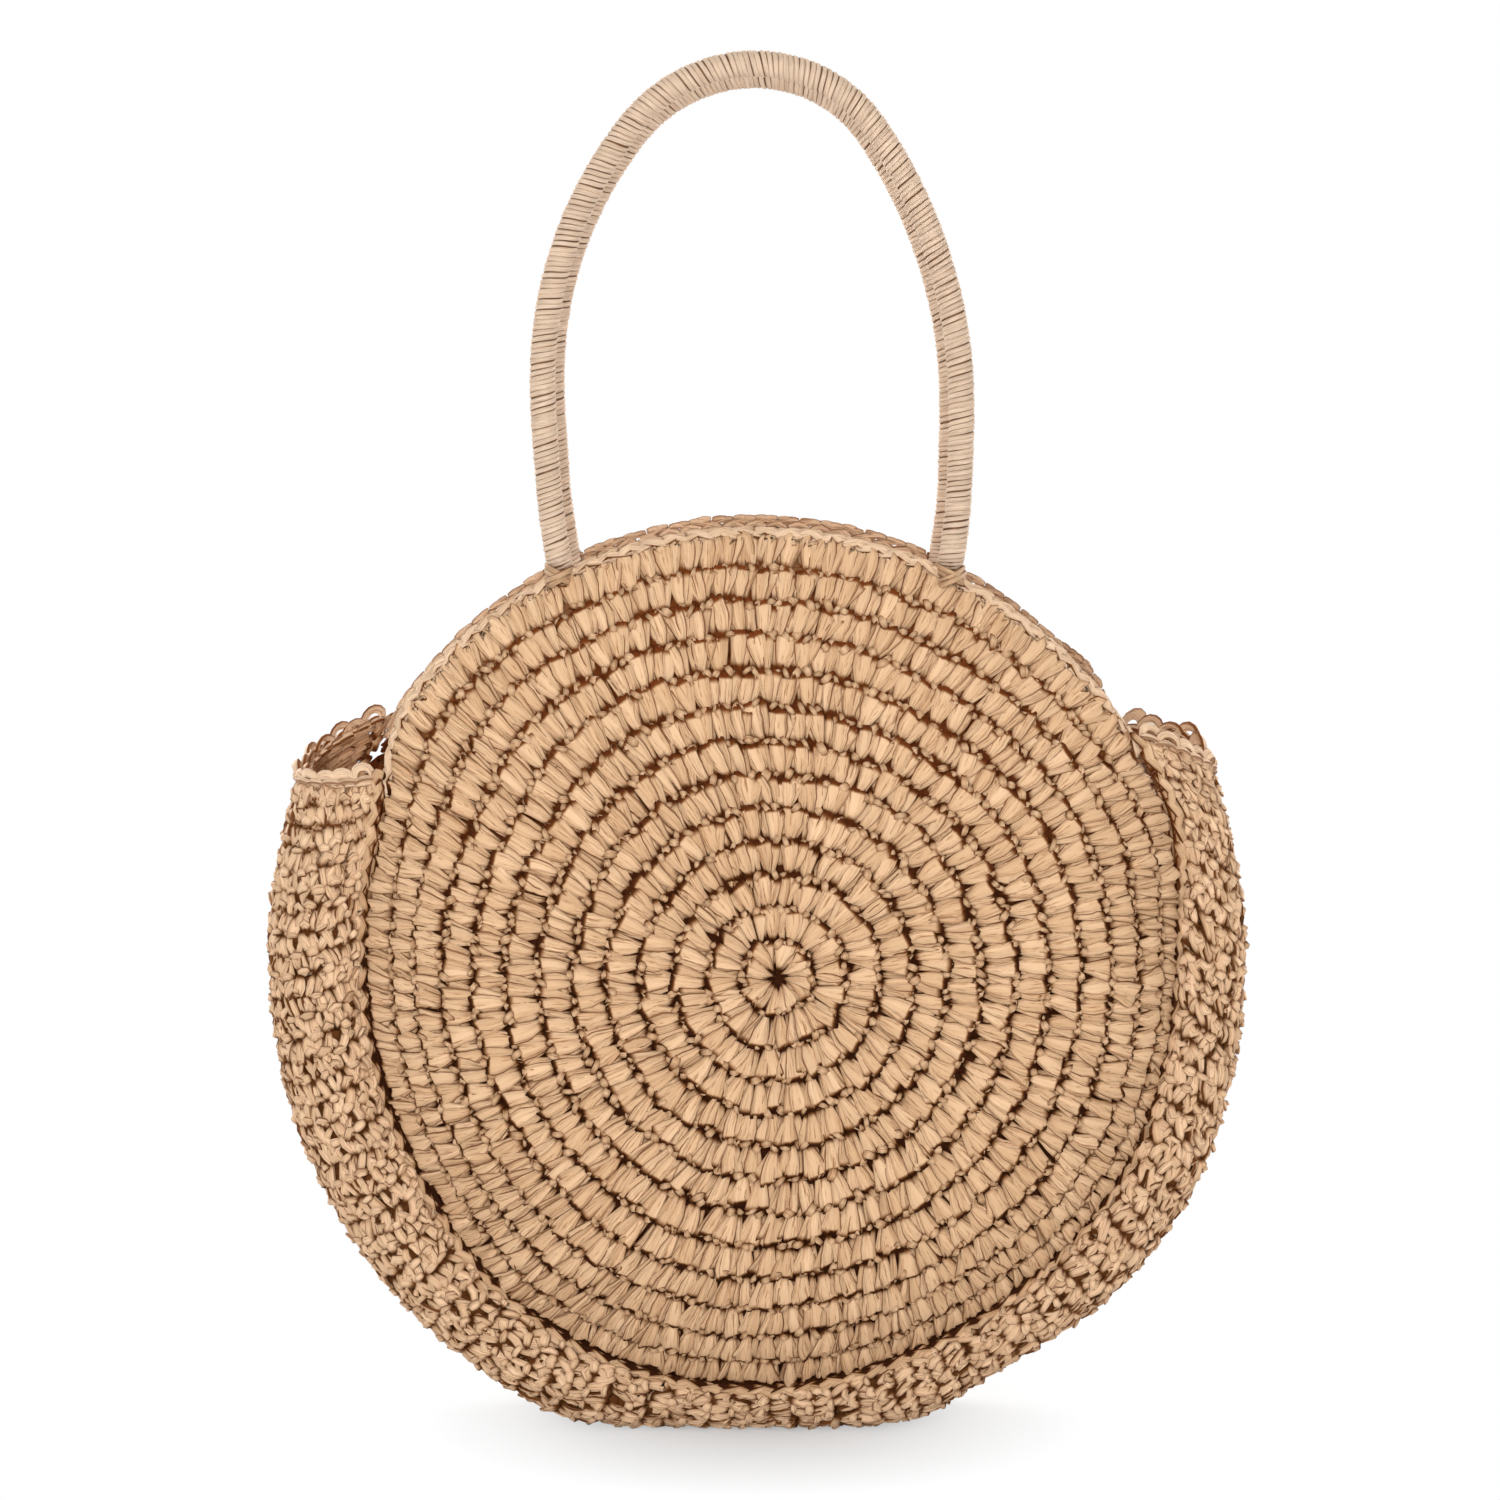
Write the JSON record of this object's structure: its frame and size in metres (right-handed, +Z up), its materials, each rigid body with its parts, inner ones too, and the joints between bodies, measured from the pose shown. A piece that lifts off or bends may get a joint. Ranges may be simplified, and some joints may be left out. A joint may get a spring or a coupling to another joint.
{
  "type": "round crocheted bag",
  "caption": "Round lined tote bag of crocheted straw: dished round panels on a bulging gusset, open over the top, with tall wrapped handles that fold out.",
  "frame": {"origin": "on the floor under the middle of the bag", "axes": "+Z up, the front panel faces -Y, +X to the right seen from the front"},
  "size_m": [0.4112, 0.124, 0.5704],
  "materials": {
    "straw": "satin",
    "wound_straw": "satin",
    "rope": "matte",
    "lining_cloth": "matte"
  },
  "bodies": {
    "bag": {"gusset": "straw", "left_gusset_edging": "straw", "right_gusset_edging": "straw", "front_panel": "straw", "front_seam_edging": "straw", "front_rim_edging": "straw", "front_left_handle_tie": "straw", "front_right_handle_tie": "straw", "back_panel": "straw", "back_seam_edging": "straw", "back_rim_edging": "straw", "back_left_handle_tie": "straw", "back_right_handle_tie": "straw", "gusset_lining": "lining_cloth", "front_lining": "lining_cloth", "back_lining": "lining_cloth"},
    "front_handle": {"front_handle_core": "rope", "front_handle_wrap": "wound_straw"},
    "back_handle": {"back_handle_core": "rope", "back_handle_wrap": "wound_straw"}
  },
  "joints": [
    {"name": "front_handle_swing", "type": "hinge", "parent": "bag", "child": "front_handle", "pos_m": [0, -0.0466, 0.36269], "axis": [1, 0, 0], "range_deg": [-11, 90]},
    {"name": "back_handle_swing", "type": "hinge", "parent": "bag", "child": "back_handle", "pos_m": [0, 0.0466, 0.36269], "axis": [-1, 0, 0], "range_deg": [-11, 90]}
  ]
}
